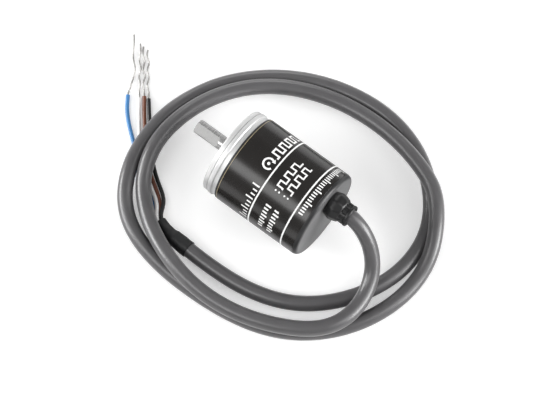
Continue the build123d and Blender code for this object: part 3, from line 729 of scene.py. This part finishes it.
# output traces, a quarter period apart, each with its terminal dots
for x, phase, _ in ROWS:
    marks.wave(x - 0.80, x + 0.90, -23, 18, period=13.6, stroke=0.42, phase=phase)
for x, _, _ in ROWS:
    for offset in (-0.55, 0.55):
        marks.disc(x + offset, 23.2, radius=0.25)
# terminal legend of slim strokes
for x, _, pattern in ROWS:
    for k, tall in enumerate(pattern):
        a = 43.5 + k * 5.2
        marks.patch(x - (0.95 if tall else 0.6), x + 0.75, a, a + 2.5)
# graduated band at the rear
for i in range(25):
    a = -62.0 + i * 3.75
    marks.patch(-28.6 if i % 5 == 0 else -27.9, -26.6, a, a + 1.7)
marks.build("label_marks")

# ---------------------------------------------------------------- gland
# (x, radius) from the rear wall to the mouth round the cable
GLAND_OUTSIDE = [
    (-30.64, 3.2), (-30.72, 3.3), (-31.0, 3.42), (-31.4, 3.56), (-31.8, 3.72), (-32.2, 3.82),
    (-32.6, 3.85), (-33.0, 3.82), (-33.5, 3.7), (-34.0, 3.55), (-34.45, 3.4), (-34.7, 3.28),
    (-34.84, 3.12), (-34.92, 3.02), (-35.1, 2.99), (-36.25, 2.97), (-36.34, 2.84),
    (-36.42, 2.84), (-36.5, 3.0), (-36.62, 3.06), (-36.9, 3.06), (-37.12, 3.02),
    (-37.28, 2.9), (-37.34, 2.72),
]
# (x, radius) back through the bore, then round the inner collar and the plug
GLAND_INSIDE = [
    (-37.34, 2.5), (-36.7, 2.31), (-35.7, 2.2), (-34.0, 2.17), (-28.45, 2.16), (-28.45, 3.4),
    (-29.36, 3.4), (-29.36, GLAND_PLUG_R), (CASE_REAR, GLAND_PLUG_R),
]


def clamp(value):
    return min(1.0, max(0.0, value))


def gland_radius(a, x, r):
    if r < 2.7:
        return r
    if x > -34.85:      # dome: flat facets with a fine groove between them
        half = math.pi / 10
        fade = clamp((-30.9 - x) / 0.7) * clamp((x + 34.9) / 0.5)
        t = a % (2 * half) - half
        facet = math.cos(half) / math.cos(t) / 0.985
        groove = math.exp(-((abs(t) - half) / 0.035) ** 2) * 0.07
        return r * (1 - fade) + fade * (r * facet - groove)
    if -36.3 < x < -34.95:      # neck: ribs cut by slots
        half = math.pi / 12
        t = (a + 0.2) % (2 * half) - half
        fade = clamp((-34.95 - x) / 0.12) * clamp((x + 36.3) / 0.12)
        slot = 1 / (1 + math.exp(-(0.11 - (half - abs(t))) * 70))
        return r - 0.32 * fade * slot
    return r


def gland_mesh():
    dense = []
    for (x0, r0), (x1, r1) in zip(GLAND_OUTSIDE[:-1], GLAND_OUTSIDE[1:]):
        n = max(1, int(abs(x1 - x0) / 0.12))
        dense += [(x0 + (x1 - x0) * i / n, r0 + (r1 - r0) * i / n) for i in range(n)]
    return revolve_x("gland_body", dense + GLAND_OUTSIDE[-1:] + GLAND_INSIDE, RUBBER, 320,
                     GLAND_Y, GLAND_Z, gland_radius, sharp=38)


mount(gland_mesh(), replaces="cable_gland")

# ---------------------------------------------------------------- cable lines
# centre line of the cable: x, y, z, from inside the case to the mouth of the sleeve
CABLE = [
    (-27.00, -2.30, 6.60), (-28.90, -2.30, 6.60), (-30.80, -2.30, 6.60), (-32.60, -2.30, 6.60),
    (-34.40, -2.30, 6.60), (-36.39, -2.30, 6.60), (-38.27, -2.22, 6.07), (-40.04, -2.03, 5.11),
    (-41.69, -1.72, 3.82), (-43.20, -1.25, 2.34), (-44.59, -0.62, 0.78), (-45.84, 0.20, -0.77),
    (-46.98, 1.23, -2.22), (-47.98, 2.47, -3.50), (-48.84, 3.93, -4.58), (-50.13, 7.42, -6.02),
    (-50.73, 11.38, -6.52), (-50.55, 15.43, -6.30), (-48.44, 21.05, -5.93), (-44.24, 25.41, -5.95),
    (-39.04, 28.60, -5.96), (-33.45, 31.05, -5.99), (-27.65, 32.80, -6.03), (-21.69, 33.78, -6.04),
    (-15.68, 33.93, -6.04), (-9.72, 33.21, -6.14), (-3.96, 31.67, -6.58), (1.52, 29.45, -7.36),
    (6.63, 26.55, -8.27), (11.19, 22.86, -9.10), (14.99, 18.39, -8.60), (17.34, 13.10, -7.26),
    (18.35, 7.22, -6.63), (18.05, 1.22, -6.76), (16.89, -4.60, -7.42), (14.72, -10.10, -7.77),
    (11.59, -15.12, -7.74), (7.69, -19.53, -7.73), (3.11, -23.25, -7.79), (-1.97, -26.28, -7.97),
    (-7.41, -28.61, -8.26), (-13.07, -30.24, -8.58), (-18.87, -31.14, -8.68),
    (-24.75, -31.26, -8.36), (-30.61, -30.68, -7.71), (-36.36, -29.44, -6.89),
    (-41.96, -27.61, -6.21), (-47.25, -25.04, -6.01), (-51.50, -21.02, -6.19),
    (-54.79, -16.18, -6.68), (-57.16, -10.98, -8.00), (-58.19, -5.53, -9.68),
    (-58.08, 0.20, -10.37), (-56.99, 5.88, -10.37), (-54.97, 11.32, -10.37),
    (-52.14, 16.40, -10.37), (-48.57, 21.01, -10.37), (-44.34, 25.03, -10.37),
    (-39.51, 28.33, -10.37), (-34.17, 30.80, -10.37), (-28.51, 32.47, -10.37),
    (-22.65, 33.49, -10.37), (-16.69, 34.00, -10.37), (-10.70, 34.14, -10.37),
    (-4.71, 33.87, -10.37), (1.23, 32.98, -10.37), (6.99, 31.31, -10.37), (12.28, 28.53, -10.33),
    (16.55, 24.45, -9.66), (19.50, 19.30, -9.04), (21.36, 13.64, -9.10), (22.02, 7.74, -9.10),
    (21.82, 1.80, -9.06), (20.79, -4.07, -9.68), (18.89, -9.73, -10.34), (16.00, -15.00, -10.37),
    (12.28, -19.75, -10.37), (7.97, -23.98, -10.37), (3.16, -27.58, -10.37),
    (-2.05, -30.54, -10.37), (-7.58, -32.83, -10.37), (-13.37, -34.41, -10.37),
    (-19.32, -35.23, -10.37), (-25.29, -35.20, -10.37), (-31.15, -34.20, -10.37),
    (-36.74, -32.18, -10.37), (-41.89, -29.17, -10.37), (-46.41, -25.25, -10.37),
    (-50.08, -20.54, -10.37), (-52.57, -15.12, -10.37), (-53.60, -9.28, -10.37),
    (-53.27, -3.34, -10.37), (-51.69, 2.40, -10.37), (-49.15, 7.77, -10.37),
    (-45.80, 12.67, -10.37), (-41.73, 16.97, -10.37), (-37.01, 20.50, -10.37),
    (-31.73, 23.11, -10.37), (-26.11, 24.80, -10.37), (-20.31, 25.73, -10.37),
    (-14.47, 26.05, -10.37), (-8.61, 26.05, -10.37), (-2.77, 25.79, -10.37),
    (1.10, 25.44, -10.41), (4.95, 24.28, -10.82),
]
# x, y, z of each core beyond the sleeve, to the end of its insulation
CORE_TAIL = {
    "blue": [
        (9.66, 21.29, -11.93), (15.01, 18.30, -11.93), (19.85, 14.57, -11.92),
        (24.77, 10.55, -11.92), (29.07, 7.03, -11.92), (32.02, 3.85, -11.92),
        (33.86, 1.19, -11.92)],
    "white": [
        (8.49, 21.28, -10.93), (14.00, 17.46, -11.86), (18.86, 13.81, -11.92),
        (23.37, 9.49, -11.92), (26.83, 5.40, -11.92), (29.29, 2.30, -11.92),
        (30.90, -0.03, -11.92)],
    "brown": [
        (8.65, 19.87, -11.93), (12.99, 16.67, -11.93), (17.85, 13.05, -11.92),
        (22.21, 8.61, -11.92), (25.65, 4.50, -11.92), (28.16, 1.45, -11.92),
        (30.13, -1.15, -11.92)],
    "black": [
        (7.44, 19.78, -11.00), (12.00, 15.93, -11.90), (16.82, 12.26, -11.92),
        (21.09, 7.76, -11.92), (24.59, 3.70, -11.92), (26.87, 1.03, -11.92),
        (28.80, -1.30, -11.92)],
}
# x, y, z of each bare copper end beyond the insulation
BARE_END = {
    "blue": [
        (34.50, -0.23, -12.10), (34.94, -1.50, -11.80), (35.97, -3.96, -12.15),
        (36.98, -5.86, -11.60), (39.37, -8.14, -12.15), (41.26, -10.90, -11.70),
        (43.20, -13.48, -12.10)],
    "white": [
        (32.40, -1.82, -12.10), (33.53, -3.63, -11.70), (34.89, -4.96, -12.16),
        (35.61, -6.70, -11.71), (37.56, -8.45, -12.15), (38.66, -10.48, -11.69),
        (40.23, -12.43, -12.10)],
    "brown": [
        (31.43, -2.56, -12.10), (32.57, -3.79, -11.70), (33.65, -5.89, -12.14),
        (34.94, -6.87, -11.59), (36.18, -8.98, -12.15), (37.59, -10.21, -11.71),
        (39.04, -12.24, -12.11)],
    "black": [
        (30.06, -2.89, -12.10), (31.48, -4.12, -11.70), (32.48, -6.07, -12.15),
        (33.97, -7.41, -11.70), (35.08, -9.46, -12.15), (36.59, -10.61, -11.70),
        (37.54, -12.23, -12.10)],
}
# side and height of each core in the cable, y and z of its pad on the board, material
CORES = {
    "blue": (1, -1, -6.2, 5.4, BLUE),
    "white": (1, 1, -4.2, 8.2, WHITE),
    "brown": (-1, -1, 1.8, 5.2, BROWN),
    "black": (-1, 1, -0.8, 7.3, BLACK),
}

# ---------------------------------------------------------------- jacket and sleeve
line = Spline(CABLE, (-1, 0, 0), unit(np.subtract(CABLE[-1], CABLE[-2]))).sample(0.5)
line_run = lengths(line)
line_side, line_up = frames_of(line)
LINE_END = line_run[-1]
JACKET_END = LINE_END - JACKET_SHORT


def along(values, s):
    """Values given at the points of the line, read at distance s along it."""
    return np.stack([np.interp(s, line_run, values[:, k]) for k in range(3)], axis=-1)


def jacket_mesh():
    kept = int(np.searchsorted(line_run, JACKET_END))
    path = np.vstack([line[:kept], along(line, JACKET_END)])
    run = lengths(path)

    def uneven(a, i):
        return 1 + 0.0035 * math.cos(4 * a + run[i] * 0.17) + 0.002 * math.sin(run[i] * 0.31 + a)

    return tube_mesh("cable_jacket", path, JACKET_R, JACKET, 40, shape=uneven)


mount(jacket_mesh(), replaces="cable_sheath")


def sleeve_mesh():
    """Tube gripping the jacket and narrowing over the cores beyond it."""
    n, around = 110, 56
    s = np.linspace(JACKET_END - SLEEVE_OVERLAP, LINE_END, n)
    path = along(line, s)
    past = s - JACKET_END

    def ease(start, end):
        t = np.clip((past - start) / (end - start), 0, 1)
        return t * t * (3 - 2 * t)

    lip = 0.03 * np.exp(-((past + SLEEVE_OVERLAP - 0.3) / 0.3) ** 2)
    outer = 2.27 - 0.10 * ease(-2.6, -0.2) - 0.33 * ease(-0.2, 1.6) - 0.25 * ease(1.6, 4.2) + lip
    inner = np.where(past < 0.02, 2.1, 1.44)

    def wrinkled(a, i):
        wrinkle = (0.010 * math.sin(3 * a + past[i] * 1.1)
                   + 0.007 * math.sin(7 * a - past[i] * 2.3 + 1.0))
        flat = 0.012 * math.cos(2 * a + 0.4) * (1 if past[i] > 0.8 else 0.3)
        return 1 + wrinkle + flat

    frames = frames_of(path)
    verts = ring_points(path, frames, outer, around, wrinkled)
    bore = len(verts)
    verts += ring_points(path, frames, inner, around)
    last = bore - around
    faces = []
    for a in range(0, last, around):
        b = a + around
        for pair in zip(belt(a, b, around), inner_belt(bore + a, bore + b, around)):
            faces += pair
    for pair in zip(rim(0, bore, around, flip=False), rim(last, bore + last, around, flip=True)):
        faces += pair
    return sharp_by_angle(mesh_object("cable_sleeve", verts, faces, SLEEVE), 45)


mount(sleeve_mesh(), replaces="heat_shrink")


# ---------------------------------------------------------------- cores
def beside(back, side, height):
    """Centre of a core, at a distance back from the end of the line."""
    s = LINE_END - back
    return (along(line, s) + along(line_side, s) * side * CORE_OFFSET
            + along(line_up, s) * height * CORE_OFFSET)


def strands(name, path, pitch, count=7, radius=0.088, lay=0.172):
    """Tinned copper: one strand in the middle and six twisted round it, lay from the middle."""
    frames = side, up = frames_of(path)
    run = lengths(path)
    verts, faces = [], []
    around = 10
    for j in range(count):
        offset = lay if j else 0.0
        twist = 2 * math.pi * (j / (count - 1) + run / pitch)
        centres = path + offset * (np.cos(twist)[:, None] * side + np.sin(twist)[:, None] * up)
        base = len(verts)
        verts += ring_points(centres, frames, radius, around)
        last = len(verts) - around
        for a in range(base, last, around):
            faces += belt(a, a + around, around)
        faces.append(tuple(range(base, base + around))[::-1])
        faces.append(tuple(range(last, last + around)))
    return sharp_by_angle(mesh_object(name, verts, faces, TINNED), 60)


def join(name, parts):
    """One object from several closed meshes of the same material."""
    bm = bmesh.new()
    for part in parts:
        bm.from_mesh(part.data)
    mesh = bpy.data.meshes.new(name)
    bm.to_mesh(mesh)
    bm.free()
    mesh.materials.append(parts[0].data.materials[0])
    joined = bpy.data.objects.new(name, mesh)
    bpy.context.scene.collection.objects.link(joined)
    for part in parts:
        bpy.data.objects.remove(part, do_unlink=True)
    return joined


PAD_X, STRIP_X = -18.6, -20.3       # the copper's end at the board, and where insulation starts


def core(colour, side, height, pad_y, pad_z, surface):
    """One core: a short run inside the case, and its loose end beyond the sleeve."""
    inside = Spline(
        [(STRIP_X, pad_y, pad_z),
         (-26.97, GLAND_Y - side * CORE_OFFSET, GLAND_Z + height * CORE_OFFSET)],
        (-1.3, 0, 0), (-1.3, 0, 0)).sample(0.4)
    start = JACKET_SHORT - 0.03
    tail = [beside(back, side, height) for back in (start, 4.6, 3.0, 1.5, 0.0)]
    tail += [np.array(p) for p in CORE_TAIL[colour]]
    start_slope = unit(beside(JACKET_SHORT - 0.4, side, height) - tail[0])
    end_slope = unit(tail[-1] - tail[-2])
    loose = Spline(tail, start_slope, end_slope).sample(0.3)
    bare = [tail[-1]] + [np.array(p) for p in BARE_END[colour]]
    tip = Spline(bare, end_slope, unit(bare[-1] - bare[-2])).sample(0.12)
    insulation = join("core_" + colour, [
        tube_mesh("part", path, CORE_R, surface, 28, inner=CORE_BORE_R)
        for path in (inside, loose)])
    mount(insulation, replaces="wire_" + colour)
    stub = np.array([(x, pad_y, pad_z) for x in np.linspace(PAD_X, STRIP_X, 6)])
    copper = join("copper_" + colour, [
        tube_mesh("part", np.vstack([stub[:-1], inside]), COPPER_R, TINNED, 16),
        strands("part", loose[::2], pitch=6.0),
        strands("part", np.vstack([loose[-1:], tip[1:]]), pitch=5.5)])
    mount(copper, replaces="conductor_" + colour)


for colour, placing in CORES.items():
    core(colour, *placing)


# ---------------------------------------------------------------- floor
def floor_material():
    """White, with a lift that only the camera sees; other rays meet a plain diffuse grey."""
    s = Surface("floor_white")
    fine = s.noise(s.coords(), scale=0.02, detail=3, rough=0.5)
    s.shade({
        "Base Color": s.ramp(fine, (0.3, grey(0.72)), (0.8, grey(0.74))),
        "Roughness": 0.9,
        "Specular IOR Level": 0.1})
    lift = s.node("Emission", {"Color": (1, 1, 1, 1), "Strength": 0.43})
    seen = s.node("AddShader", {0: s.bsdf.outputs["BSDF"], 1: lift.outputs[0]})
    plain = s.node("BsdfDiffuse", {"Color": (*grey(0.80), 1)})
    pick = s.node("MixShader", {
        0: s.node("LightPath").outputs["Is Camera Ray"],
        1: plain.outputs[0], 2: seen.outputs[0]})
    s.feed(s.output, {"Surface": pick.outputs[0]})
    return s


bpy.ops.mesh.primitive_plane_add(size=6.0, location=(0, 0, -(LABEL_R + 0.02) * MM))
floor = bpy.context.object
floor.name = "floor"
floor.data.materials.append(floor_material().material)

# ---------------------------------------------------------------- world and lights
scene = bpy.context.scene
scene.view_settings.view_transform = "Standard"
scene.view_settings.look = "None"
scene.view_settings.exposure = 0.0
world = bpy.data.worlds.new("studio")
scene.world = world
world.use_nodes = True
sky = Nodes(world.node_tree)
height = sky.node("SeparateXYZ", {0: sky.node("TexCoord").outputs["Generated"]}).outputs["Z"]
glow = sky.ramp(height, (0.0, grey(0.34)), (0.15, grey(0.30)), (0.5, grey(0.22)),
                (0.95, grey(0.30)))
sky.feed(world.node_tree.nodes["Background"], {"Strength": 1.0, "Color": glow})

LIGHT_AIM = Vector((-0.012, 0.0, 0.0))      # metres
LIGHT_DISTANCE = 0.9                        # metres
# name, direction from the aim, width and height in metres, power in watts
for name, direction, width, tall, power in (
    ("left_box", (0.24, 0.60, 0.76), 0.8, 0.36, 3.0),
    ("right_box", (-0.68, -0.20, 0.70), 0.6, 0.5, 2.2),
    ("low_left", (0.84, 0.46, 0.30), 0.6, 0.4, 7.5),
    ("low_right", (-0.88, -0.40, 0.28), 0.6, 0.4, 8.5),
    ("low_back", (0.60, -0.72, 0.38), 0.5, 0.35, 1.6),
):
    toward = Vector(direction).normalized()
    light = bpy.data.lights.new(name, "AREA")
    light.shape = "RECTANGLE"
    light.size = width
    light.size_y = tall
    light.energy = power
    lamp = bpy.data.objects.new(name, light)
    scene.collection.objects.link(lamp)
    lamp.location = LIGHT_AIM + toward * LIGHT_DISTANCE
    lamp.rotation_mode = "QUATERNION"
    lamp.rotation_quaternion = toward.to_track_quat("Z", "Y")

# ---------------------------------------------------------------- camera
ELEVATION = math.radians(71.5)      # above the floor
TURN = math.radians(37.2)           # from +Y towards -X
CAMERA_DISTANCE = 900.0
VIEW_WIDTH = 146.2141               # across the view, at the target
AIM_RIGHT, AIM_DOWN = 12.7937, 13.1854      # target from the origin, in the view

back = Vector((-math.sin(TURN) * math.cos(ELEVATION), math.cos(TURN) * math.cos(ELEVATION),
               math.sin(ELEVATION)))
right = Vector((-math.cos(TURN), -math.sin(TURN), 0.0))
up = back.cross(right)
lens = bpy.data.cameras.new("camera")
camera = bpy.data.objects.new("camera", lens)
scene.collection.objects.link(camera)
lens.sensor_width = 36.0
lens.lens = 36.0 * CAMERA_DISTANCE / VIEW_WIDTH
lens.clip_start = 0.05
lens.clip_end = 20
camera.location = (right * AIM_RIGHT - up * AIM_DOWN + back * CAMERA_DISTANCE) * MM
camera.rotation_mode = "QUATERNION"
camera.rotation_quaternion = Matrix((right, up, back)).transposed().to_quaternion()
scene.camera = camera
